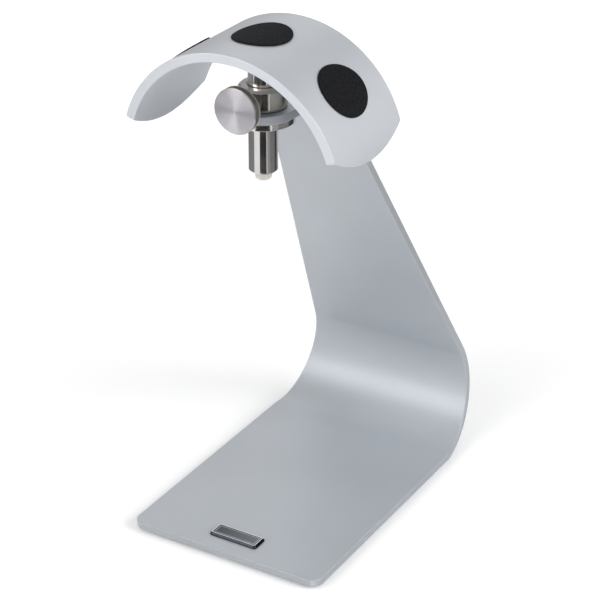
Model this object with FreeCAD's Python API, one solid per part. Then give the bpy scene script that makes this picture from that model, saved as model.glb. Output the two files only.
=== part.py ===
"""Headphone stand: one bent sheet-metal plate carries a clamped post with a padded arch on top.

Millimetres, +Z up. The front is -Y and the stand is symmetric about X = 0. The origin is on the
surface that the feet stand on, below the middle of the footprint. The post's axis is vertical.
Thread forms are left out: a threaded pair is a plain shaft in a plain hole of the same size.
"""
import FreeCAD
import Part
import math
import os

V = FreeCAD.Vector

# Stand plate: flat base, heel bend, mast leaning forward, neck bend, round-ended tab.
base_width = 110.0
base_depth = 142.0        # front edge to the start of the heel bend
plate_thick = 4.1         # 4 mm sheet with its powder coat
corner_radius = 6.0       # front corners of the base, seen from above
heel_radius = 31.7        # inside of the bend
heel_angle = 118.7        # turn of the bend, so the mast leans 28.7 degrees forward
neck_radius = 6.0         # inside of the bend
side_taper = 0.129        # each side comes in by this much per millimetre of developed length
edge_radius = 0.5         # broken edges of the plate and the arch
join_tolerance = 0.01     # for fusing the plate's stretches

# Working values for cuts and edge tests.
overshoot = 1.0           # how far a cut runs past a face
close = 0.01              # places nearer than this count as the same
bend_steps = 12           # sections along the lofted cuts
belly_steps = 16
bow_steps = 12

# Feet: round rubber pads, each on its own adhesive disc.
foot_radius = 6.0
foot_height = 1.3
foot_rounding = 0.4
foot_tape_thick = 0.2
foot_tape_inset = 0.3
foot_side_inset = 13.0
foot_end_inset = 13.0

# Badge: a blank nameplate near the base's front edge.
badge_length = 27.5
badge_depth = 10.0
badge_thick = 1.5
badge_wall = 0.5          # height of its upright sides, below the bevels
badge_bevel = 0.9         # how far the bevels come in
badge_rim = 1.2           # outline to pocket
badge_corner = 1.3
badge_tape_thick = 0.1
badge_tape_inset = 0.5
badge_pocket = 0.35
badge_inlay_thick = 0.3
badge_setback = 14.0      # base's front edge to the badge's middle

# Post, and where its axis and the tab's top face are.
post_radius = 7.0
post_setback = 99.8       # start of the heel bend, forward to the post's axis
tab_top_height = 231.3
post_foot_height = 198.2
post_edge = 1.0           # chamfer round its foot
running_clearance = 0.05

# Clamp: flanged collar through the tab, washer above the tab and ring nut below it.
collar_radius = 11.7
collar_height = 10.4
collar_chamfer = 1.2
bore_chamfer = 0.8
spigot_radius = 9.5
spigot_clearance = 0.1
seat_washer_thick = 0.5
seat_washer_inset = 0.1
ring_nut_radius = 15.4
ring_nut_height = 3.3
ring_nut_chamfer = 0.3
pin_hole_radius = 1.5
pin_hole_depth = 1.7
pin_hole_circle = 12.4

# Thumb screw: knurled knob, pressed-in stud and brass tip, on an axis pointing forward.
screw_height = 236.2
knob_radius = 11.3
knob_thick = 4.7
knob_chamfer = 0.5
knob_face_reach = 24.6    # post's axis to the knob's front face
hub_radius = 4.6
hub_length = 4.5
stud_radius = 3.0
stud_in_knob = 5.5
tip_radius = 2.2
tip_length = 1.5
tip_gap = 0.02

# Arch: rolled plate over the post, with its crown across the post's axis.
arch_radius = 59.6        # outside
arch_thick = 4.7
arch_crown_height = 266.2
arch_width = 62.0         # front to back, at the corners
arch_belly = 1.1          # how far each long edge stands out at the crown
arch_corner_arc = 75.2    # arc length from the crown to a corner, on the outside
arch_end_bow = 8.8        # how far each end bows out past its corners
arch_corner_radius = 2.0
arch_end_flare = math.radians(40)

# Pads on the arch: flat ellipses wrapped on it.
pad_half_arc = 13.8
pad_half_depth = 15.8
pad_thick = 0.6
pad_tape_thick = 0.1
pad_tape_inset = 0.6
pad_pitch_arc = 48.6      # arc length from the crown to the middle of a side pad

# Arch screw, under the middle pad, and the plug in the post's foot.
screw_radius = 2.5
screw_length = 14.0
screw_head_radius = 4.7
screw_head_sink = 0.25
screw_socket_flats = 3.0
screw_socket_depth = 1.6
plug_radius = 4.0
plug_height = 4.2
plug_rounding = 1.6
plug_shank_radius = 2.6
plug_shank_length = 7.0
plug_hole_spare = 0.5

# Places that follow from the sizes above.
heel_outer = heel_radius + plate_thick
neck_outer = neck_radius + plate_thick
bend_y = (base_depth - heel_outer) / 2
front_y = bend_y - base_depth
post_y = bend_y - post_setback
base_bottom = foot_height + foot_tape_thick
base_top = base_bottom + plate_thick
tab_bottom = tab_top_height - plate_thick
collar_bottom = tab_top_height + seat_washer_thick
collar_top = collar_bottom + collar_height
ring_bottom = tab_bottom - ring_nut_height
arch_axis_height = arch_crown_height - arch_radius
arch_inner = arch_radius - arch_thick
bore_radius = post_radius + running_clearance
lean = math.radians(heel_angle)
taper_angle = math.atan(side_taper)
half_turn = math.pi

# The bends are arcs about these centres, as (y, z). The mast runs straight between them.
heel_centre = (bend_y, base_bottom + heel_outer)
neck_centre_z = tab_top_height - neck_outer
mast_out = (math.sin(lean), -math.cos(lean))
mast_up = (math.cos(lean), math.sin(lean))
mast_length = (neck_centre_z - heel_centre[1] - (heel_outer - neck_outer) * mast_out[1]) / mast_up[1]
neck_centre = (
    heel_centre[0] + (heel_outer - neck_outer) * mast_out[0] + mast_length * mast_up[0],
    neck_centre_z,
)

# Developed lengths from the start of the heel bend, along the middle of the sheet.
mast_start = (heel_radius + plate_thick / 2) * lean
mast_end = mast_start + mast_length
tab_start = mast_end + (neck_radius + plate_thick / 2) * (half_turn - lean)


def half_width(developed):
    """Half of the plate's width at a developed length past the start of the heel bend."""
    return base_width / 2 - side_taper * developed


def cylinder(radius, bottom, top, y=post_y, x=0.0):
    """Upright cylinder, on the post's axis unless told otherwise."""
    return Part.makeCylinder(radius, top - bottom, V(x, y, bottom))


def forward_cylinder(radius, near, far):
    """Cylinder on the thumb screw's axis, from near to far in front of the post's axis."""
    return Part.makeCylinder(radius, far - near, V(0, post_y - near, screw_height), V(0, -1, 0))


def turned(points, axis_point, axis):
    """Solid of revolution of a closed outline given as 3-D points in one plane with the axis."""
    outline = Part.makePolygon([V(*point) for point in points + points[:1]])
    return Part.Face(outline).revolve(axis_point, axis, 360)


def turned_upright(profile):
    """Turned part on the post's axis, from (radius, height) points."""
    points = [(radius, post_y, height) for radius, height in profile]
    return turned(points, V(0, post_y, 0), V(0, 0, 1))


def turned_forward(profile):
    """Turned part on the thumb screw's axis, from (radius, reach) points."""
    points = [(radius, post_y - reach, screw_height) for radius, reach in profile]
    return turned(points, V(0, post_y, screw_height), V(0, 1, 0))


def radial_loft(section, steps, start, end):
    """Smooth solid through four-cornered sections, one at each step from start to end."""
    wires = []
    for step in range(steps + 1):
        corners = section(start + (end - start) * step / steps)
        wires.append(Part.makePolygon(corners + corners[:1]))
    return Part.makeLoft(wires, True, False)


def broken_edges(solid, radius, wanted):
    """Round every edge whose middle point passes the wanted test."""
    edges = []
    for edge in solid.Edges:
        middle = edge.valueAt((edge.FirstParameter + edge.LastParameter) / 2)
        if wanted(edge, middle):
            edges.append(edge)
    return solid.makeFillet(radius, edges)


def bend_point(centre, radius, angle, x):
    """Point of a bend: angle 0 is straight below the centre, and it grows towards the back."""
    return V(x, centre[0] + radius * math.sin(angle), centre[1] - radius * math.cos(angle))


def bend(centre, inner, start, end, developed_start):
    """Bent stretch of the plate, with its sides cut to the taper."""
    outer = inner + plate_thick
    middle = (start + end) / 2
    reach = base_width / 2
    rim = [
        Part.Arc(*[bend_point(centre, outer, a, -reach) for a in (start, middle, end)]).toShape(),
        Part.makeLine(bend_point(centre, outer, end, -reach), bend_point(centre, inner, end, -reach)),
        Part.Arc(*[bend_point(centre, inner, a, -reach) for a in (end, middle, start)]).toShape(),
        Part.makeLine(bend_point(centre, inner, start, -reach), bend_point(centre, outer, start, -reach)),
    ]
    solid = Part.Face(Part.Wire(rim)).extrude(V(base_width, 0, 0))
    overrun = math.radians(3)
    neutral = inner + plate_thick / 2
    for side in (-1, 1):
        def section(angle):
            edge = side * half_width(developed_start + neutral * (angle - start))
            far = side * (reach + overshoot)
            return [
                bend_point(centre, inner - overshoot, angle, edge),
                bend_point(centre, outer + overshoot, angle, edge),
                bend_point(centre, outer + overshoot, angle, far),
                bend_point(centre, inner - overshoot, angle, far),
            ]
        solid = solid.cut(radial_loft(section, bend_steps, start - overrun, end + overrun))
    return solid


def base_slab():
    """Flat base with rounded front corners and broken edges, except where the heel joins it."""
    slab = Part.makeBox(base_width, base_depth, plate_thick, V(-base_width / 2, front_y, base_bottom))

    def at_front_corner(edge, middle):
        upright = abs(middle.z - base_bottom - plate_thick / 2) < close
        return upright and middle.y < front_y + close

    def on_outline(edge, middle):
        return middle.y < bend_y - close and edge.Length > plate_thick + close

    slab = broken_edges(slab, corner_radius, at_front_corner)
    return broken_edges(slab, edge_radius, on_outline)


def mast():
    """Straight, tapered stretch between the bends."""
    inner_low = bend_point(heel_centre, heel_radius, lean, 0)
    inner_high = bend_point(neck_centre, neck_radius, lean, 0)
    low, high = half_width(mast_start), half_width(mast_end)
    outline = [
        inner_low + V(-low, 0, 0),
        inner_low + V(low, 0, 0),
        inner_high + V(high, 0, 0),
        inner_high + V(-high, 0, 0),
    ]
    through = V(0, mast_out[0], mast_out[1]) * plate_thick
    return Part.Face(Part.makePolygon(outline + outline[:1])).extrude(through)


def tab():
    """Level end of the plate: its sides run into a round end about the post's axis."""
    start_y = neck_centre[0]
    start_half = half_width(tab_start)
    axis_half = half_width(tab_start + start_y - post_y)
    radius = axis_half * math.cos(taper_angle)
    touch_x = radius * math.cos(taper_angle)
    touch_y = post_y - radius * math.sin(taper_angle)
    back_left, back_right = V(-start_half, start_y, tab_bottom), V(start_half, start_y, tab_bottom)
    left, right = V(-touch_x, touch_y, tab_bottom), V(touch_x, touch_y, tab_bottom)
    outline = [
        Part.makeLine(back_left, left),
        Part.Arc(left, V(0, post_y - radius, tab_bottom), right).toShape(),
        Part.makeLine(right, back_right),
        Part.makeLine(back_right, back_left),
    ]
    return Part.Face(Part.Wire(outline)).extrude(V(0, 0, plate_thick))


def stand_plate():
    """The whole bent plate, edges broken, with the collar's hole in its tab."""
    heel = bend(heel_centre, heel_radius, 0, lean, 0)
    neck = bend(neck_centre, neck_radius, lean, half_turn, mast_end)
    upright = heel.fuse([mast(), neck, tab()], join_tolerance).removeSplitter()

    def on_outline(edge, middle):
        across = abs(middle.x) < close and edge.Curve.TypeId == "Part::GeomLine"
        return not across and edge.Length > plate_thick + close

    upright = broken_edges(upright, edge_radius, on_outline)
    solid = base_slab().fuse([upright], join_tolerance).removeSplitter()
    low, high = tab_bottom - overshoot, tab_top_height + overshoot
    hole = cylinder(spigot_radius + spigot_clearance, low, high)
    return solid.cut(hole)


def foot_places():
    """Names and centres of the four feet."""
    x = base_width / 2 - foot_side_inset
    front, rear = front_y + foot_end_inset, bend_y - foot_end_inset
    return [
        ("front_left", -x, front),
        ("front_right", x, front),
        ("rear_left", -x, rear),
        ("rear_right", x, rear),
    ]


def foot(x, y):
    """Rubber disc with a rounded lower edge."""
    disc = cylinder(foot_radius, 0, foot_height, y, x)
    return broken_edges(disc, foot_rounding, lambda edge, middle: middle.z < close and edge.Closed)


def foot_tape(x, y):
    return cylinder(foot_radius - foot_tape_inset, foot_height, base_bottom, y, x)


def badge_outline(margin, height):
    """Round-cornered outline at a height, inside the badge's full outline by the margin."""
    radius = badge_corner - margin / 2
    middle = V(0, front_y + badge_setback, height)
    x = badge_length / 2 - margin - radius
    y = badge_depth / 2 - margin - radius
    corners = []
    for turn, place in enumerate((V(x, y, 0), V(-x, y, 0), V(-x, -y, 0), V(x, -y, 0))):
        corners.append(Part.makeCircle(radius, middle + place, V(0, 0, 1), 90 * turn, 90 * turn + 90))
    edges = []
    for corner, following in zip(corners, corners[1:] + corners[:1]):
        side_start = corner.valueAt(corner.LastParameter)
        side_end = following.valueAt(following.FirstParameter)
        edges += [corner, Part.makeLine(side_start, side_end)]
    return Part.Wire(edges)


def badge_block(margin, bottom, top):
    """Upright block on the badge's place, smaller than its full outline by the margin."""
    return Part.Face(badge_outline(margin, bottom)).extrude(V(0, 0, top - bottom))


def badge_plate():
    """Bevelled metal plate with a shallow pocket for the inlay."""
    bottom = base_top + badge_tape_thick
    shoulder = bottom + badge_wall
    top = bottom + badge_thick
    sides = badge_block(0, bottom, shoulder)
    bevels = Part.makeLoft([badge_outline(0, shoulder), badge_outline(badge_bevel, top)], True, True)
    pocket = badge_block(badge_rim, top - badge_pocket, top + overshoot)
    return sides.fuse(bevels).removeSplitter().cut(pocket)


def badge_inlay():
    floor = base_top + badge_tape_thick + badge_thick - badge_pocket
    return badge_block(badge_rim, floor, floor + badge_inlay_thick)


def badge_tape():
    return badge_block(badge_tape_inset, base_top, base_top + badge_tape_thick)


def clamp_collar():
    """Collar with a spigot through the tab, bored for the post and cross-drilled for the screw."""
    body = turned_upright([
        (bore_radius, ring_bottom),
        (spigot_radius, ring_bottom),
        (spigot_radius, collar_bottom),
        (collar_radius, collar_bottom),
        (collar_radius, collar_top - collar_chamfer),
        (collar_radius - collar_chamfer, collar_top),
        (bore_radius + bore_chamfer, collar_top),
        (bore_radius, collar_top - bore_chamfer),
    ])
    return body.cut(forward_cylinder(stud_radius + running_clearance, 0, collar_radius + overshoot))


def seat_washer():
    """Fibre washer that keeps the collar off the tab's coating."""
    disc = cylinder(collar_radius - seat_washer_inset, tab_top_height, collar_bottom)
    low, high = tab_top_height - overshoot, collar_bottom + overshoot
    return disc.cut(cylinder(spigot_radius + spigot_clearance, low, high))


def ring_nut():
    """Round nut on the spigot, with two blind holes for a pin spanner in its underside."""
    edge = ring_nut_radius - ring_nut_chamfer
    nut = turned_upright([
        (spigot_radius, ring_bottom),
        (edge, ring_bottom),
        (ring_nut_radius, ring_bottom + ring_nut_chamfer),
        (ring_nut_radius, tab_bottom - ring_nut_chamfer),
        (edge, tab_bottom),
        (spigot_radius, tab_bottom),
    ])
    for side in (-1, 1):
        y = post_y + side * pin_hole_circle
        hole = cylinder(pin_hole_radius, ring_bottom - overshoot, ring_bottom + pin_hole_depth, y)
        nut = nut.cut(hole)
    return nut


def arch_axis_cylinder(radius):
    """Long cylinder on the arch's own axis, which lies along Y, with its seam at the bottom."""
    length = 2 * arch_width
    solid = Part.makeCylinder(radius, length, V(0, post_y - length / 2, arch_axis_height), V(0, 1, 0))
    return solid.rotate(V(0, 0, arch_axis_height), V(0, 1, 0), 180)


def post():
    """Solid post: its top is milled to the arch's inside, and both ends are drilled."""
    top = arch_crown_height - arch_thick + overshoot
    bar = turned_upright([
        (0, post_foot_height),
        (post_radius - post_edge, post_foot_height),
        (post_radius, post_foot_height + post_edge),
        (post_radius, top),
        (0, top),
    ])
    bar = bar.common(arch_axis_cylinder(arch_inner))
    screw_hole = cylinder(screw_radius, top - screw_length - overshoot, top)
    plug_top = post_foot_height + plug_shank_length + plug_hole_spare
    plug_hole = cylinder(plug_shank_radius + running_clearance, post_foot_height, plug_top)
    return bar.cut(screw_hole).cut(plug_hole)


def post_end_plug():
    """Plastic stop plug: a round head below the post and a shank inside it."""
    bottom = post_foot_height - plug_height
    head = broken_edges(
        cylinder(plug_radius, bottom, post_foot_height),
        plug_rounding,
        lambda edge, middle: edge.Closed and middle.z < bottom + close,
    )
    shank = cylinder(plug_shank_radius, post_foot_height, post_foot_height + plug_shank_length)
    return head.fuse(shank).removeSplitter()


def thumb_knob():
    """Disc with a hub behind it and a blind hole for the stud."""
    back = knob_face_reach - knob_thick
    hub_end = back - hub_length
    return turned_forward([
        (0, knob_face_reach),
        (0, hub_end + stud_in_knob),
        (stud_radius, hub_end + stud_in_knob),
        (stud_radius, hub_end),
        (hub_radius, hub_end),
        (hub_radius, back),
        (knob_radius - knob_chamfer, back),
        (knob_radius, back + knob_chamfer),
        (knob_radius, knob_face_reach - knob_chamfer),
        (knob_radius - knob_chamfer, knob_face_reach),
    ])


def thumb_stud():
    hub_end = knob_face_reach - knob_thick - hub_length
    tip_back = post_radius + tip_gap + tip_length
    return forward_cylinder(stud_radius, tip_back, hub_end + stud_in_knob)


def pressure_tip():
    """Brass tip between the stud and the post."""
    near = post_radius + tip_gap
    return forward_cylinder(tip_radius, near, near + tip_length)


def arch_point(radius, angle, y):
    """Point about the arch's axis: angle 0 is the crown, and it grows towards +X."""
    return V(radius * math.sin(angle), y, arch_axis_height + radius * math.cos(angle))


def arch_plate():
    """Rolled plate: long edges with a slight belly, ends bowed outwards, hole for the arch screw."""
    low, high = arch_inner - 2 * overshoot, arch_radius + 2 * overshoot
    tip_angle = (arch_corner_arc + arch_end_bow) / arch_radius
    past_tip = tip_angle + math.radians(11)
    corner_angle = arch_corner_arc / arch_radius
    shell = arch_axis_cylinder(arch_radius).cut(arch_axis_cylinder(arch_inner))
    half = arch_width / 2
    limit = half + arch_belly + 2 * overshoot
    reach = 4 * arch_radius

    for side in (-1, 1):
        def long_edge(angle):
            belly = arch_belly * (1 - (angle / corner_angle) ** 2)
            near, far = post_y + side * (half + belly), post_y + side * 2 * arch_width
            return [
                arch_point(low, angle, near),
                arch_point(high, angle, near),
                arch_point(high, angle, far),
                arch_point(low, angle, far),
            ]

        def bowed_end(offset):
            bow = arch_end_bow * (1 - (offset / half) ** 2)
            start = side * (arch_corner_arc + bow) / arch_radius
            end = side * (tip_angle + arch_end_flare)
            y = post_y + offset
            return [
                arch_point(low, start, y),
                arch_point(high, start, y),
                arch_point(2 * high, end, y),
                arch_point(low / 2, end, y),
            ]

        shell = shell.cut(radial_loft(long_edge, belly_steps, -past_tip, past_tip))
        shell = shell.cut(radial_loft(bowed_end, bow_steps, -limit, limit))

    lower_half = Part.makeBox(2 * reach, 2 * reach, reach, V(-reach, -reach, arch_axis_height - reach))
    shell = shell.cut(lower_half)

    def at_corner(edge, middle):
        return edge.Length < 1.2 * arch_thick

    def on_face(edge, middle):
        distance = math.hypot(middle.x, middle.z - arch_axis_height)
        return min(abs(distance - arch_inner), abs(distance - arch_radius)) < 5 * close

    shell = broken_edges(shell, arch_corner_radius, at_corner)
    shell = broken_edges(shell, edge_radius, on_face)
    return shell.cut(screw_outline(0))


def screw_outline(socket_depth):
    """Countersunk screw, or with no socket the hole that it fits."""
    head_top = arch_crown_height - screw_head_sink
    cone = screw_head_radius - screw_radius
    top = head_top if socket_depth else arch_crown_height + overshoot
    profile = [
        (0, head_top - screw_length),
        (screw_radius, head_top - screw_length),
        (screw_radius, head_top - cone),
        (screw_head_radius, head_top),
        (screw_head_radius, top),
        (0, top),
    ]
    if socket_depth:
        profile.remove((screw_head_radius, top))
    return turned_upright(profile)


def arch_screw():
    """Countersunk screw with a hexagon socket."""
    head_top = arch_crown_height - screw_head_sink
    reach = screw_socket_flats / math.sqrt(3)
    corners = []
    for turn in range(6):
        angle = math.radians(60 * turn)
        corners.append(V(reach * math.cos(angle), post_y + reach * math.sin(angle), head_top))
    socket = Part.Face(Part.makePolygon(corners + corners[:1])).extrude(V(0, 0, -screw_socket_depth))
    return screw_outline(screw_socket_depth).cut(socket)


def wrapped_ellipse(arc, margin, low, high):
    """Elliptical patch between two radii of the arch, its middle at an arc length off the crown."""
    angle = arc / arch_radius
    outline = Part.Ellipse(V(0, 0, 0), pad_half_depth - margin, pad_half_arc - margin).toShape()
    prism = Part.Face(Part.Wire([outline])).extrude(V(0, 0, 2 * arch_thick))
    prism.rotate(V(0, 0, 0), V(0, 0, 1), 90)
    prism.translate(V(0, post_y, arch_radius - arch_thick))
    prism.rotate(V(0, post_y, 0), V(0, 1, 0), math.degrees(angle))
    prism.translate(V(0, 0, arch_axis_height))
    return prism.common(arch_axis_cylinder(high).cut(arch_axis_cylinder(low)))


def pad(arc):
    low = arch_radius + pad_tape_thick
    return wrapped_ellipse(arc, 0, low, low + pad_thick)


def pad_tape(arc):
    return wrapped_ellipse(arc, pad_tape_inset, arch_radius, arch_radius + pad_tape_thick)


def main():
    nodes = {
        "stand_plate": stand_plate(),
        "badge_plate": badge_plate(),
        "badge_inlay": badge_inlay(),
        "badge_tape": badge_tape(),
        "clamp_collar": clamp_collar(),
        "collar_seat_washer": seat_washer(),
        "ring_nut": ring_nut(),
        "post": post(),
        "post_end_plug": post_end_plug(),
        "thumb_knob": thumb_knob(),
        "thumb_stud": thumb_stud(),
        "pressure_tip": pressure_tip(),
        "arch_plate": arch_plate(),
        "arch_screw": arch_screw(),
    }
    for name, x, y in foot_places():
        nodes["foot_" + name] = foot(x, y)
        nodes["foot_tape_" + name] = foot_tape(x, y)
    for name, arc in (("left", -pad_pitch_arc), ("centre", 0.0), ("right", pad_pitch_arc)):
        nodes["pad_" + name] = pad(arc)
        nodes["pad_tape_" + name] = pad_tape(arc)

    os.makedirs("parts", exist_ok=True)
    for name, shape in nodes.items():
        print(name, "solids", len(shape.Solids), "valid", shape.isValid(), "volume", round(shape.Volume, 1))
        shape.exportStep("parts/" + name + ".step")


main()
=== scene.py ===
"""Looks of the headphone stand on its CAD frame: materials, felt pads, knurled knob, studio.

Metres, +Z up, the front is -Y. Places on the object come from the frame's own boxes.
"""

import math
import bpy
import bmesh
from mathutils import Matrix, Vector


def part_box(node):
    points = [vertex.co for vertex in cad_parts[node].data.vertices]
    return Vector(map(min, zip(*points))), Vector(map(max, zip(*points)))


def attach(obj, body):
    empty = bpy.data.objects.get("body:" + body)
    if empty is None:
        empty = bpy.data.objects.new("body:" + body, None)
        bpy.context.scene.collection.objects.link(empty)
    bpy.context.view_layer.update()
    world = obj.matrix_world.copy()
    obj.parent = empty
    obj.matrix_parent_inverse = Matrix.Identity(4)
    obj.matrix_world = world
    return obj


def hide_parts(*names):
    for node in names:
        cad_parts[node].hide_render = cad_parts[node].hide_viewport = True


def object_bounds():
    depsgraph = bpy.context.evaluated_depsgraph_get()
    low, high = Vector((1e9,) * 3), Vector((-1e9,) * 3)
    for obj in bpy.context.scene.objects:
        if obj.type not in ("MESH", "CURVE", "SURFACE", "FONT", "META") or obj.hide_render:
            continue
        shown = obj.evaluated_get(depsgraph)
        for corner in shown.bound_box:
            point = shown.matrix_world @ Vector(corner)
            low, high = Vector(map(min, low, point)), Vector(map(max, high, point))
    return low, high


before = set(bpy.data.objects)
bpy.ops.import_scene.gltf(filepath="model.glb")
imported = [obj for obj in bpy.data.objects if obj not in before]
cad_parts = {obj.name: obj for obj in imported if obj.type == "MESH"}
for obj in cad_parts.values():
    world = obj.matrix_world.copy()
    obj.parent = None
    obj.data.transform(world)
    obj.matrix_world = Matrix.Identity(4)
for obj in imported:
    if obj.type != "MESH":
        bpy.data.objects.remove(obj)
cad_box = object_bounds()

mm = 0.001

# Sizes that a node's box doesn't tell.
arch_radius = 59.6 * mm       # outside of the rolled plate
knob_thick = 4.7 * mm
knob_chamfer = 0.45 * mm
hub_radius = 4.6 * mm

# Camera: angles in degrees, offsets from the middle of the object in metres, lens and sensor in
# millimetres.
camera_azimuth = 30.831
camera_elevation = 27.121
camera_distance = 1.0448
camera_right = -0.00655
camera_up = -0.0226
camera_lens = 123.56
camera_sensor = 36.0
camera_near = 0.05
camera_far = 50.0

badge_low, badge_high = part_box("badge_inlay")
knob_low, knob_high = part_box("thumb_knob")
pad_low, pad_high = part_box("pad_centre")
post_low, post_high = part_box("post")
plate_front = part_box("stand_plate")[0].y
arch_axis_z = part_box("arch_plate")[1].z - arch_radius
knob_axis_z = (knob_low.z + knob_high.z) / 2
knob_radius = (knob_high.x - knob_low.x) / 2
post_y = (post_low.y + post_high.y) / 2
floor_z = cad_box[0].z
middle = (cad_box[0] + cad_box[1]) / 2


# ---------------------------------------------------------------- node graphs

def colour(red, green, blue):
    return (red, green, blue, 1.0)


def shaded(base, factor):
    """A colour from three channels, made brighter or darker by a factor."""
    return colour(*[channel * factor for channel in base])


class Graph:
    """A material under construction. Inputs are values or another node's output."""

    def __init__(self, name):
        self.material = bpy.data.materials.new(name)
        self.material.use_nodes = True
        self.tree = self.material.node_tree
        self.tree.nodes.clear()
        place = self.tree.nodes.new("ShaderNodeTexCoord")
        self.coords = place.outputs["Object"]
        self.normal = place.outputs["Normal"]

    def add(self, kind, inputs=(), **settings):
        node = self.tree.nodes.new("ShaderNode" + kind)
        for key, value in settings.items():
            setattr(node, key, value)
        for key, value in dict(inputs).items():
            self.connect(node.inputs[key], value)
        return node

    def connect(self, socket, value):
        if isinstance(value, bpy.types.NodeSocket):
            self.tree.links.new(value, socket)
        else:
            socket.default_value = value

    def math(self, operation, first, second=0.0):
        return self.add("Math", {0: first, 1: second}, operation=operation).outputs[0]

    def parts(self, vector):
        """The x, y and z of a vector."""
        return self.add("SeparateXYZ", {0: vector}).outputs

    def scaled(self, factors, origin=(0.0, 0.0, 0.0)):
        """The object's coordinates, counted from an origin and stretched along each axis."""
        inputs = {0: self.coords, 1: origin}
        moved = self.add("VectorMath", inputs, operation="SUBTRACT").outputs[0]
        return self.add("VectorMath", {0: moved, 1: factors}, operation="MULTIPLY").outputs[0]

    def toned(self, tint, tone):
        """A colour times a value."""
        return self.add("VectorMath", {0: tint, "Scale": tone}, operation="SCALE").outputs[0]

    def noise(self, vector, scale, detail=2.0, rough=0.5):
        """Noise with about scale cells per unit of the vector."""
        inputs = {"Vector": vector, "Scale": scale, "Detail": detail, "Roughness": rough}
        return self.add("TexNoise", inputs).outputs["Fac"]

    def between(self, value, low, high, from_low=0.3, from_high=0.7):
        """A value's range stretched to low and high, and held at both ends.

        Where no range is given, the value is a noise, which mostly stays in 0.3 to 0.7.
        """
        inputs = {0: value, 1: from_low, 2: from_high, 3: low, 4: high}
        return self.add("MapRange", inputs).outputs[0]

    def mix(self, factor, first, second):
        node = self.add("Mix", data_type="RGBA")
        for key, value in ((0, factor), (6, first), (7, second)):
            self.connect(node.inputs[key], value)
        return node.outputs[2]

    def bump(self, height, depth, strength):
        inputs = {"Height": height, "Distance": depth, "Strength": strength}
        return self.add("Bump", inputs).outputs[0]

    def tangent(self, axis):
        """Direction round an axis, as a lathe's marks run."""
        return self.add("Tangent", direction_type="RADIAL", axis=axis).outputs[0]

    def finish(self, **inputs):
        """The material. The shader's inputs are given by name, with _ for a space."""
        named = {key.replace("_", " "): value for key, value in inputs.items()}
        shader = self.add("BsdfPrincipled", named)
        output = self.add("OutputMaterial")
        self.tree.links.new(shader.outputs[0], output.inputs[0])
        return self.material


# ------------------------------------------------------------------ materials

def satin_coat(name, base, painted_edge_factors):
    """Fine silver powder coat: faint cloudiness, a close grain and a soft gloss.

    Painted light and shade on the sheet's cut edges: each painted edge factor is a mask's maker
    and a factor for the colour, below 1 for painted shade and above 1 for painted light.
    """
    graph = Graph(name)
    cloud = graph.noise(graph.coords, 16.0, 3.0)
    grain = graph.noise(graph.coords, 5200.0, 2.0)
    flake = graph.noise(graph.coords, 2300.0, 3.0, 0.6)
    tint = graph.mix(graph.between(cloud, 0.0, 1.0), shaded(base, 0.965), shaded(base, 1.035))
    speck = graph.between(flake, 0.0, 0.35, 0.45, 0.72)
    speckled = graph.mix(speck, tint, shaded(base, 1.12))
    tone = 1.0
    # Painted shade and painted light: each mask scales the colour on the cut edges.
    for mask, factor in painted_edge_factors:
        painted_edge_factor = graph.between(mask(graph), 1.0, factor, 0.0, 1.0)
        tone = graph.math("MULTIPLY", tone, painted_edge_factor)
    return graph.finish(
        Base_Color=graph.toned(speckled, tone),
        Metallic=0.40,
        Roughness=graph.between(flake, 0.44, 0.51),
        Normal=graph.bump(grain, 0.012 * mm, 0.5),
        Coat_Weight=0.06,
        Coat_Roughness=0.25,
    )


def facing(axis):
    """Maker of a mask: 1 on faces that look along an axis either way, 0 on the others."""
    def mask(graph):
        along = graph.parts(graph.normal)["XYZ".index(axis)]
        return graph.between(graph.math("ABSOLUTE", along), 0.0, 1.0, 0.55, 0.95)
    return mask


def front_edge_shade_mask(graph):
    """Mask: 1 on the base's front edge, where painted shade darkens the coat."""
    y = graph.parts(graph.coords)[1]
    return graph.between(y, 1.0, 0.0, plate_front + 0.2 * mm, plate_front + 0.6 * mm)


def turned_steel(name, base, roughness, origin, along, pitch_scale, top=1.0):
    """Metal off the lathe: fine rings round the axis and a stretched gloss.

    pitch_scale is how close the rings are along the axis. top is how much brighter the faces that
    look up are painted: a painted highlight.
    """
    graph = Graph(name)
    ring_scales = [6.0, 6.0, 6.0]
    ring_scales["XYZ".index(along)] = pitch_scale
    rings = graph.noise(graph.scaled(ring_scales, origin), 1.0, 3.0, 0.65)
    smears = graph.noise(graph.coords, 140.0, 2.0)
    streaks = graph.between(rings, 0.90, 1.03)
    # Painted highlight: faces that look up are brightened by the factor top.
    painted_top_light = graph.between(graph.parts(graph.normal)[2], 1.0, top, 0.80, 0.97)
    ring_gloss = graph.between(rings, roughness - 0.03, roughness + 0.05)
    smear_gloss = graph.between(smears, -0.015, 0.02)
    return graph.finish(
        Base_Color=graph.toned(base, graph.math("MULTIPLY", streaks, painted_top_light)),
        Metallic=1.0,
        Roughness=graph.math("ADD", ring_gloss, smear_gloss),
        Anisotropic=0.6,
        Anisotropic_Rotation=0.25,
        Tangent=graph.tangent(along),
        Normal=graph.bump(rings, 0.004 * mm, 0.6),
    )


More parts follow.
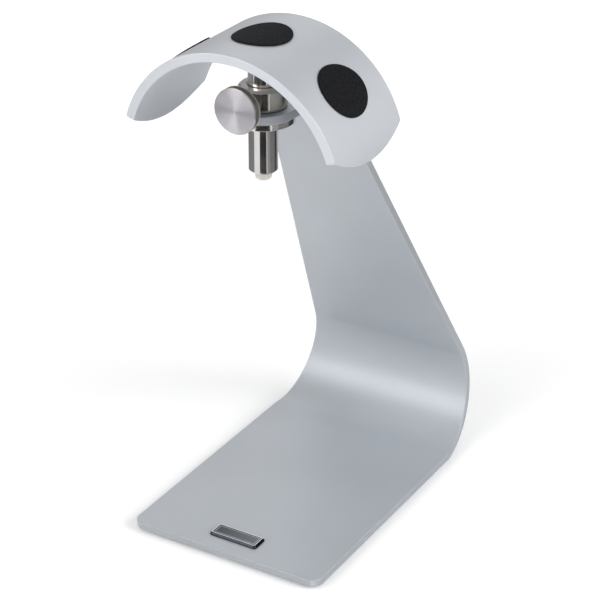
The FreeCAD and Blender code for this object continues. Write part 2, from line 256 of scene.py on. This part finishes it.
def knob_steel():
    """Knob: concentric facing marks on the front; painted shade darkens the knurl's grooves.

    Painted highlights brighten the knurl's crests and the chamfers before and behind it.
    """
    graph = Graph("knob_steel")
    x, y, z = graph.parts(graph.coords)
    square = graph.math("ADD", graph.math("MULTIPLY", x, x), graph.math("MULTIPLY", z, z))
    radius = graph.math("SQRT", square)
    stretched = {
        0: graph.math("MULTIPLY", radius, 9000.0),
        1: graph.math("MULTIPLY", x, 30.0),
        2: graph.math("MULTIPLY", z, 30.0),
    }
    rings = graph.noise(graph.add("CombineXYZ", stretched).outputs[0], 1.0, 3.0, 0.7)
    ring_share = graph.between(rings, 0.0, 1.0)
    bright = graph.mix(ring_share, colour(0.36, 0.348, 0.412), colour(0.455, 0.44, 0.52))
    # Painted shade in the knurl's grooves; painted highlight on its crests and on both chamfers.
    crest_highlight_mask = graph.between(radius, 0.0, 1.0, knob_radius - 0.34 * mm, knob_radius - 0.08 * mm)
    rear_chamfer_highlight_mask = graph.between(y, 0.0, 1.0, knob_thick - 0.25 * mm, knob_thick - 0.05 * mm)
    front_chamfer_highlight_mask = graph.between(y, 1.0, 0.0, knob_chamfer, knob_chamfer + 0.25 * mm)
    painted_highlight_mask = graph.math("MAXIMUM", crest_highlight_mask, graph.math("MAXIMUM", rear_chamfer_highlight_mask, front_chamfer_highlight_mask))
    knurl_painted_light_and_shade = graph.mix(painted_highlight_mask, colour(0.085, 0.078, 0.066), colour(0.56, 0.535, 0.485))
    front = graph.between(y, 1.0, 0.0, -0.25 * mm, 0.45 * mm)
    return graph.finish(
        Base_Color=graph.mix(front, knurl_painted_light_and_shade, bright),
        Metallic=1.0,
        Roughness=graph.between(rings, 0.34, 0.42),
        Anisotropic=0.96,
        Anisotropic_Rotation=0.25,
        Tangent=graph.tangent("Y"),
        Normal=graph.bump(rings, 0.006 * mm, 0.5),
    )


def black_felt():
    """Short matted felt: curled clumps, crossed fibres, a lighter fleck here and there."""
    graph = Graph("black_felt")
    first = graph.noise(graph.scaled((2600.0, 700.0, 2600.0)), 1.0, 3.0, 0.6)
    second = graph.noise(graph.scaled((800.0, 2900.0, 900.0)), 1.0, 3.0, 0.6)
    clumps = graph.noise(graph.coords, 1500.0, 2.0, 0.6)
    nap = graph.noise(graph.coords, 5200.0, 3.0, 0.7)
    fibres = graph.math("MAXIMUM", first, second)
    fleck = graph.between(graph.math("MULTIPLY", fibres, nap), 0.0, 1.0, 0.30, 0.46)
    clump = graph.between(clumps, 0.0, 1.0, 0.42, 0.66)
    base = graph.mix(clump, colour(0.0024, 0.0026, 0.0034), colour(0.0125, 0.0130, 0.0155))
    raised = graph.math("ADD", clumps, graph.math("MULTIPLY", nap, 0.3))
    height = graph.math("ADD", graph.math("MULTIPLY", fibres, 0.4), raised)
    return graph.finish(
        Base_Color=graph.mix(fleck, base, colour(0.030, 0.031, 0.037)),
        Roughness=0.95,
        Specular_IOR_Level=0.10,
        Sheen_Weight=0.04,
        Sheen_Roughness=0.5,
        Sheen_Tint=colour(0.55, 0.56, 0.62),
        Normal=graph.bump(height, 0.14 * mm, 0.9),
    )


def moulded(name, base, roughness):
    """Moulded rubber, nylon or fibre: faint mottling and a fine skin."""
    graph = Graph(name)
    cloud = graph.noise(graph.coords, 320.0, 3.0)
    skin = graph.noise(graph.coords, 6500.0, 2.0)
    return graph.finish(
        Base_Color=graph.mix(graph.between(cloud, 0.0, 1.0), shaded(base, 0.86), colour(*base)),
        Roughness=graph.between(skin, roughness - 0.04, roughness + 0.05),
        Normal=graph.bump(skin, 0.02 * mm, 0.5),
    )


def inside(graph, part, low, high):
    """How far a coordinate is inside two opposite edges."""
    from_middle = graph.math("ABSOLUTE", graph.math("SUBTRACT", part, (low + high) / 2))
    return graph.math("SUBTRACT", (high - low) / 2, from_middle)


def badge_field():
    """Badge's blank field: dark, lighter to the right, brushed finely lengthwise, one engraved
    frame.
    """
    graph = Graph("badge_field")
    lines = graph.noise(graph.scaled((60.0, 9000.0, 60.0)), 1.0, 3.0, 0.6)
    x, y = graph.parts(graph.coords)[:2]
    side = graph.between(x, 0.0, 1.0, badge_low.x, badge_high.x)
    base = graph.mix(side, colour(0.012, 0.014, 0.019), colour(0.105, 0.112, 0.125))
    brushed = graph.mix(graph.between(lines, 0.0, 0.25), base, colour(0.17, 0.18, 0.20))
    inset = graph.math("MINIMUM", inside(graph, x, badge_low.x, badge_high.x),
                       inside(graph, y, badge_low.y, badge_high.y))
    off_line = graph.math("ABSOLUTE", graph.math("SUBTRACT", inset, 1.0 * mm))
    groove = graph.between(off_line, 1.0, 0.0, 0.08 * mm, 0.16 * mm)
    height = graph.math("SUBTRACT", graph.math("MULTIPLY", lines, 0.05), groove)
    return graph.finish(
        Base_Color=graph.mix(groove, brushed, colour(0.50, 0.52, 0.56)),
        Metallic=0.7,
        Roughness=graph.between(lines, 0.26, 0.36),
        Normal=graph.bump(height, 0.08 * mm, 0.5),
        Coat_Weight=0.2,
        Coat_Roughness=0.08,
    )


def badge_metal():
    """Black chrome with a faint haze; faces that look up get a painted highlight."""
    graph = Graph("badge_metal")
    haze = graph.noise(graph.coords, 900.0, 3.0)
    share = graph.between(haze, 0.0, 1.0)
    dark = graph.mix(share, colour(0.020, 0.022, 0.028), colour(0.040, 0.043, 0.052))
    bright = graph.mix(share, colour(0.62, 0.63, 0.66), colour(0.74, 0.75, 0.78))
    # Painted highlight: faces that look up are far brighter than the sloped ones.
    flat = graph.between(graph.parts(graph.normal)[2], 0.0, 1.0, 0.85, 0.97)
    return graph.finish(
        Base_Color=graph.mix(flat, dark, bright),
        Metallic=1.0,
        Roughness=graph.between(haze, 0.10, 0.18),
        Normal=graph.bump(haze, 0.003 * mm, 0.4),
    )


# -------------------------------------------------------------------- objects

def placed(name, data):
    """New object in the scene, from a mesh, a light or a camera."""
    made = bpy.data.objects.new(name, data)
    bpy.context.scene.collection.objects.link(made)
    return made


def faces_object(name, corners, faces, material, smooth=False):
    """New object from corners and faces."""
    mesh = bpy.data.meshes.new(name)
    mesh.from_pydata(corners, [], faces)
    mesh.materials.append(material)
    for face in mesh.polygons:
        face.use_smooth = smooth
    return placed(name, mesh)


def rings_object(name, rings, material, closed=True):
    """New smooth object: a skin between rings of points and, if closed, a cap at each end."""
    work = bmesh.new()
    rows = [[work.verts.new(point) for point in ring] for ring in rings]
    for lower, upper in zip(rows, rows[1:]):
        count = len(lower)
        for i in range(count):
            j = (i + 1) % count
            work.faces.new((lower[i], lower[j], upper[j], upper[i]))
    if closed:
        work.faces.new(list(reversed(rows[0])))
        work.faces.new(rows[-1])
    bmesh.ops.recalc_face_normals(work, faces=work.faces)
    for face in work.faces:
        face.smooth = True
    mesh = bpy.data.meshes.new(name)
    work.to_mesh(mesh)
    work.free()
    mesh.materials.append(material)
    return placed(name, mesh)


# ------------------------------------------------------------------ felt pads

# The blank is worked out flat, at 100 times its size so that the cloth solver is at home, as
# (across, along, height); then it is wrapped on the arch.
blank_scale = 100.0
pad_thick = 0.6 * mm
pad_tape = 0.1 * mm           # adhesive film under the felt
pad_puff = 0.08 * mm          # most that the cloth may swell
pad_held = 0.6                # share of the thickness, from below, that doesn't swell
pad_around = 112
pad_half_arc = (pad_high.x - pad_low.x) / 2
pad_half_depth = (pad_high.y - pad_low.y) / 2
# The blank's side, from under to over: share of the outline, share of the thickness.
pad_side = [(0.955, 0.0), (0.985, 0.0), (0.994, 0.10), (1.0, 0.28), (1.0, 0.5), (0.999, 0.72),
            (0.994, 0.88), (0.984, 0.965), (0.968, 1.0)]
pad_top_steps = 16
cloth_frames = 20
cloth_pressure = 4.0


def blank_ring(share, height):
    """Ring of the elliptical blank, from shares of its outline and its thickness."""
    ring = []
    for i in range(pad_around):
        angle = 2 * math.pi * i / pad_around
        across = pad_half_arc * share * math.cos(angle)
        along = pad_half_depth * share * math.sin(angle)
        ring.append(Vector((across, along, height * pad_thick)) * blank_scale)
    return ring


def flat_blank():
    """Closed elliptical disc with soft edges, at blank_scale."""
    rings = [blank_ring(share, height) for share, height in pad_side]
    top_share = pad_side[-1][0]
    for step in range(1, pad_top_steps):
        rings.append(blank_ring(top_share * (1 - step / pad_top_steps), 1.0))
    return rings_object("felt_blank", rings, felt)


def puffed(blank, rest):
    """Places of the blank's vertices after a short cloth simulation that swells its top."""
    held = blank.vertex_groups.new(name="held")
    held_top = pad_held * pad_thick * blank_scale
    held.add([i for i, place in enumerate(rest) if place.z < held_top], 1.0, "ADD")
    cloth = blank.modifiers.new("Cloth", "CLOTH")
    cloth.settings.vertex_group_mass = "held"
    cloth.settings.use_pressure = True
    cloth.settings.uniform_pressure_force = cloth_pressure
    cloth.settings.effector_weights.gravity = 0.0
    cloth.settings.quality = 6
    cloth.point_cache.frame_start = 1
    cloth.point_cache.frame_end = cloth_frames
    for number in range(1, cloth_frames + 1):
        bpy.context.scene.frame_set(number)
    solved = blank.evaluated_get(bpy.context.evaluated_depsgraph_get()).to_mesh()
    limit = pad_puff * blank_scale
    places = []
    for vertex, start in zip(solved.vertices, rest):
        swell = min(max(vertex.co.z - start.z, 0.0), limit)
        places.append(Vector((start.x, start.y, start.z + swell)))
    bpy.context.scene.frame_set(1)
    return places


def pad_blank():
    """Places, in metres, and faces of the finished blank."""
    blank = flat_blank()
    places = [vertex.co.copy() for vertex in blank.data.vertices]
    places = puffed(blank, places)
    faces = [tuple(face.vertices) for face in blank.data.polygons]
    bpy.data.objects.remove(blank)
    return [place / blank_scale for place in places], faces


def felt_pad(name, node):
    """One pad, wrapped on the arch where its CAD solid is."""
    low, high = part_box(node)
    turn = math.atan2((low.x + high.x) / 2, (low.z + high.z) / 2 - arch_axis_z)
    wrapped = []
    for across, along, height in blank_places:
        angle = turn + math.asin(across / arch_radius)
        radius = arch_radius + pad_tape + height
        z = arch_axis_z + radius * math.cos(angle)
        wrapped.append((radius * math.sin(angle), post_y + along, z))
    made = faces_object(name, wrapped, blank_faces, felt, smooth=True)
    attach(made, "arch_assembly")
    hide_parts(node)


# ----------------------------------------------------------------- thumb knob

# Faced disc with a diamond knurl on its rim and a hub behind, on an axis along Y.
knurl_teeth = 66
knurl_depth = 0.42 * mm
knurl_steps = 6               # points per tooth round the rim
knurl_rows = 26
knurl_fade = 0.2              # share of the rim over which the knurl runs out at each side
knob_ease = 0.12 * mm         # step in from the rim to the chamfer
hub_ease = 0.3 * mm           # chamfer of the hub's end
sharp_angle = math.radians(35)


def triangle_wave(value):
    """0 at whole numbers, 1 half way between."""
    part = value % 1.0
    return 1.0 - abs(2.0 * part - 1.0)


def knob_profile():
    """(radius, reach behind the face, share of the knurl's depth), from front to back."""
    eased = knob_radius - knob_ease
    land = knob_radius - knob_chamfer
    hub_end = knob_high.y - knob_low.y
    front = [(0.6 * mm, 0.0, 0.0), (knob_radius * 0.35, 0.0, 0.0), (knob_radius * 0.7, 0.0, 0.0),
             (land - 0.15 * mm, 0.0, 0.0), (land, 0.02 * mm, 0.0),
             (eased, knob_chamfer - 0.1 * mm, 0.0)]
    rim = []
    for row in range(knurl_rows + 1):
        share = row / knurl_rows
        reach = knob_chamfer + (knob_thick - 2 * knob_chamfer) * share
        rim.append((knob_radius, reach, min(1.0, share / knurl_fade, (1 - share) / knurl_fade)))
    back = [(eased, knob_thick - knob_chamfer + 0.1 * mm, 0.0),
            (land, knob_thick - 0.02 * mm, 0.0),
            (hub_radius + 0.25 * mm, knob_thick, 0.0), (hub_radius, knob_thick + 0.2 * mm, 0.0),
            (hub_radius, hub_end - hub_ease, 0.0), (hub_radius - hub_ease, hub_end, 0.0)]
    return front + rim + back


def knob_ring(ring_radius, reach, cut):
    """Ring of the knob, cut by two sets of slanting grooves that cross."""
    around = knurl_teeth * knurl_steps
    slant = reach * knurl_teeth / (2 * math.pi * knob_radius)
    ring = []
    for i in range(around):
        angle = 2 * math.pi * i / around
        tooth = i / knurl_steps
        groove = 1.0 - min(triangle_wave(tooth + slant), triangle_wave(tooth - slant))
        size = ring_radius - knurl_depth * cut * groove
        ring.append((size * math.cos(angle), reach, size * math.sin(angle)))
    return ring


def thumb_knob():
    rings = [knob_ring(*row) for row in knob_profile()]
    made = rings_object("thumb_knob_knurled", rings, knob_steel())
    made.location = (0.0, knob_low.y, knob_axis_z)
    made.data.set_sharp_from_angle(angle=sharp_angle)
    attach(made, "thumb_screw")
    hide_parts("thumb_knob")


# ----------------------------------------------------------------------- make

post_axis = (0.0, post_y, 0.0)
screw_axis = (0.0, 0.0, knob_axis_z)
# Painted shade on the stand plate's side and front edges, painted light on the arch's front and
# back edges.
plate_painted_edge_shade = [(facing("X"), 0.70), (front_edge_shade_mask, 0.84)]
arch_painted_edge_light = [(facing("Y"), 1.2)]

plate_coat = satin_coat("plate_coat", (0.442, 0.467, 0.499), plate_painted_edge_shade)
arch_coat = satin_coat("arch_coat", (0.466, 0.484, 0.515), arch_painted_edge_light)
post_steel = turned_steel("post_steel", (0.60, 0.585, 0.58), 0.13, post_axis, "Z", 5200.0)
# The collar's faces that look up get a painted highlight.
collar_steel = turned_steel("collar_steel", (0.52, 0.495, 0.45), 0.15, post_axis, "Z", 6500.0,
                            top=1.8)
ring_steel = turned_steel("ring_steel", (0.70, 0.69, 0.67), 0.14, post_axis, "Z", 6500.0)
stud_steel = turned_steel("stud_steel", (0.52, 0.50, 0.47), 0.18, screw_axis, "Y", 7000.0)
screw_steel = turned_steel("screw_steel", (0.45, 0.44, 0.42), 0.22, post_axis, "Z", 7000.0)
tip_brass = turned_steel("tip_brass", (0.72, 0.53, 0.25), 0.22, screw_axis, "Y", 7000.0)
felt = black_felt()
rubber = moulded("foot_rubber", (0.028, 0.028, 0.030), 0.75)
nylon = moulded("plug_nylon", (0.56, 0.53, 0.49), 0.42)
fibre = moulded("washer_fibre", (0.020, 0.019, 0.018), 0.60)
film = moulded("adhesive_film", (0.62, 0.62, 0.58), 0.45)

node_materials = {
    "stand_plate": plate_coat,
    "arch_plate": arch_coat,
    "badge_plate": badge_metal(),
    "badge_inlay": badge_field(),
    "badge_tape": film,
    "clamp_collar": collar_steel,
    "collar_seat_washer": fibre,
    "ring_nut": ring_steel,
    "post": post_steel,
    "post_end_plug": nylon,
    "thumb_knob": stud_steel,
    "thumb_stud": stud_steel,
    "pressure_tip": tip_brass,
    "arch_screw": screw_steel,
}
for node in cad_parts:
    if node.startswith("foot_tape") or node.startswith("pad_tape"):
        node_materials[node] = film
    elif node.startswith("foot_"):
        node_materials[node] = rubber
    elif node.startswith("pad_"):
        node_materials[node] = felt
for node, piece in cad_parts.items():
    piece.data.materials.clear()
    piece.data.materials.append(node_materials[node])

blank_places, blank_faces = pad_blank()
felt_pad("felt_pad_left", "pad_left")
felt_pad("felt_pad_centre", "pad_centre")
felt_pad("felt_pad_right", "pad_right")
thumb_knob()


# --------------------------------------------------------------------- studio

world_strength = 0.4
studio_shade = 0.92
floor_glow = 0.1              # the floor is a white table, lit from below
floor_half = 14.0             # half the floor's side

# Name, azimuth and elevation in degrees, power. Azimuth is counted from the front, positive to
# the right.
softboxes = [
    ("key", -30, 30, 10.0),
    ("left", -85, 25, 2.3),
    ("right", 95, 25, 19.0),
    ("back_right", 150, 35, 1.2),
    ("back_left", -150, 35, 2.8),
    ("front", 0, 5, 4.6),
]
softbox_distance = 1.5
softbox_size = 1.0

# The far floor and the tall ring that it sweeps up into: radius, height.
far_profile = [(0.4, 0.0002), (1.0, 0.0004), (2.0, 0.001), (5.0, 0.004), (9.0, 0.05), (11.0, 0.4),
               (12.0, 1.4), (12.4, 3.0), (12.0, 6.0), (9.0, 9.0), (4.0, 10.8), (0.5, 11.2)]
far_around = 64
far_glow = 0.95
far_fade = (0.4, 1.5)         # distances between which the floor's glow rises to the far one

# Low cards round the stand, seen only in reflections: name, azimuth from and to, shade.
cards = [
    ("card_front", 5, 57, 0.012),
    ("card_front_right", 62, 86, 0.34),
    ("card_right", 86, 132, 0.20),
    ("card_back", 132, 205, 0.055),
    ("card_left", -150, -42, 0.24),
]
card_radius = 0.36
card_height = 0.17
card_steps = 12


def away_from(azimuth, elevation):
    """Unit vector towards a place in the studio, from angles in degrees."""
    turn, rise = math.radians(azimuth), math.radians(elevation)
    level = math.cos(rise)
    return Vector((math.sin(turn) * level, -math.cos(turn) * level, math.sin(rise)))


def softbox(name, azimuth, elevation, power):
    """Square light that looks at the object's middle."""
    light = bpy.data.lights.new(name, "AREA")
    light.size = softbox_size
    light.energy = power
    made = placed(name, light)
    away = away_from(azimuth, elevation)
    made.location = middle + away * softbox_distance
    made.rotation_euler = away.to_track_quat("Z", "Y").to_euler()


def matt(graph, shade, glow=0.0):
    """Even matt surface for the studio."""
    return graph.finish(
        Base_Color=colour(shade, shade, shade),
        Roughness=1.0,
        Specular_IOR_Level=0.0,
        Emission_Color=colour(1.0, 1.0, 1.0),
        Emission_Strength=glow,
    )


def floor():
    corners = []
    for x, y in ((-1, -1), (1, -1), (1, 1), (-1, 1)):
        corners.append((x * floor_half, y * floor_half, floor_z))
    white = matt(Graph("floor_white"), studio_shade, floor_glow)
    made = faces_object("floor", corners, [(0, 1, 2, 3)], white)


def far_white():
    """Far floor and surround, for the camera only: it neither lights nor shades the object."""
    rings = []
    for radius, height in far_profile:
        ring = []
        for i in range(far_around):
            angle = 2 * math.pi * i / far_around
            ring.append((radius * math.cos(angle), radius * math.sin(angle), floor_z + height))
        rings.append(ring)
    graph = Graph("far_white")
    distance = graph.add("VectorMath", {0: graph.coords}, operation="LENGTH").outputs["Value"]
    glow = graph.between(distance, floor_glow, far_glow, *far_fade)
    made = rings_object("far_white", rings, matt(graph, studio_shade, glow), closed=False)
    made.visible_shadow = False
    made.visible_diffuse = False
    made.visible_glossy = False
    made.visible_transmission = False


def card(name, start, end, shade):
    """Upright card, curved round the post."""
    corners = []
    for step in range(card_steps + 1):
        away = away_from(start + (end - start) * step / card_steps, 0)
        foot = Vector((0.0, post_y, floor_z)) + away * card_radius
        corners += [foot, foot + Vector((0.0, 0.0, card_height))]
    faces = [(2 * i, 2 * i + 2, 2 * i + 3, 2 * i + 1) for i in range(card_steps)]
    made = faces_object(name, corners, faces, matt(Graph(name + "_shade"), shade))
    made.visible_camera = False
    made.visible_shadow = False
    made.visible_diffuse = False


def studio():
    world = bpy.data.worlds.new("studio_white")
    world.use_nodes = True
    background = world.node_tree.nodes["Background"]
    background.inputs["Color"].default_value = colour(1.0, 1.0, 1.0)
    background.inputs["Strength"].default_value = world_strength
    bpy.context.scene.world = world
    floor()
    far_white()
    for settings in softboxes:
        softbox(*settings)
    for settings in cards:
        card(*settings)


def camera():
    away = away_from(camera_azimuth, camera_elevation)
    right = away_from(camera_azimuth + 90, 0)
    up = away.cross(right)
    data = bpy.data.cameras.new("camera")
    data.sensor_width = camera_sensor
    data.lens = camera_lens
    data.clip_start = camera_near
    data.clip_end = camera_far
    made = placed("camera", data)
    made.location = middle + right * camera_right + up * camera_up + away * camera_distance
    made.rotation_euler = away.to_track_quat("Z", "Y").to_euler()
    bpy.context.scene.camera = made


studio()
camera()
bpy.context.scene.view_settings.view_transform = "Standard"
